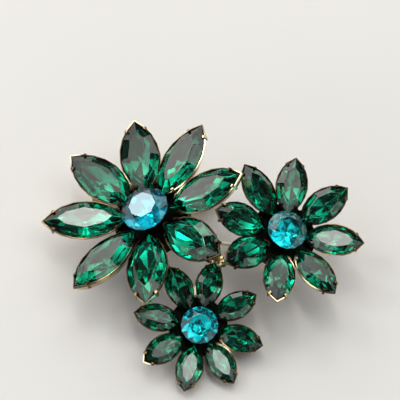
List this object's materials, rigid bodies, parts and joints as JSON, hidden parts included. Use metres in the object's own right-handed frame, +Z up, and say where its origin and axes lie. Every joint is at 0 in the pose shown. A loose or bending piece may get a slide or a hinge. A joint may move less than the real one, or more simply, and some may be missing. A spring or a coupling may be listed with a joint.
{
  "type": "flower brooch",
  "caption": "Brooch of overlapping flowers with pointed green glass petals and round aqua centres in gold-tone cups, joined on rods with a pin bar behind.",
  "frame": {"origin": "middle of the brooch's outline, on the surface that it lies on", "axes": "+X across the brooch from the large flower to the medium one, +Y to its upper edge, +Z up out of its face"},
  "size_m": [0.0582, 0.0506, 0.0194],
  "materials": {
    "green_stone": "emerald green faceted glass with a foiled back",
    "aqua_stone": "aqua faceted glass with a foiled back",
    "gold_metal": "polished gold-tone plating, darkened in the corners"
  },
  "bodies": {
    "root": {"large_petal_stone_1": "green_stone", "large_petal_stone_2": "green_stone", "large_petal_stone_3": "green_stone", "large_petal_stone_4": "green_stone", "large_petal_stone_5": "green_stone", "large_petal_stone_6": "green_stone", "large_petal_stone_7": "green_stone", "large_petal_stone_8": "green_stone", "medium_petal_stone_1": "green_stone", "medium_petal_stone_2": "green_stone", "medium_petal_stone_3": "green_stone", "medium_petal_stone_4": "green_stone", "medium_petal_stone_5": "green_stone", "medium_petal_stone_6": "green_stone", "medium_petal_stone_7": "green_stone", "medium_petal_stone_8": "green_stone", "small_petal_stone_1": "green_stone", "small_petal_stone_2": "green_stone", "small_petal_stone_3": "green_stone", "small_petal_stone_4": "green_stone", "small_petal_stone_5": "green_stone", "small_petal_stone_6": "green_stone", "small_petal_stone_7": "green_stone", "small_petal_stone_8": "green_stone", "large_centre_stone": "aqua_stone", "medium_centre_stone": "aqua_stone", "small_centre_stone": "aqua_stone", "large_flower_setting": "gold_metal", "medium_flower_setting": "gold_metal", "small_flower_setting": "gold_metal", "large_centre_setting": "gold_metal", "medium_centre_setting": "gold_metal", "small_centre_setting": "gold_metal", "back_frame": "gold_metal", "pin_back": "gold_metal"}
  },
  "joints": []
}
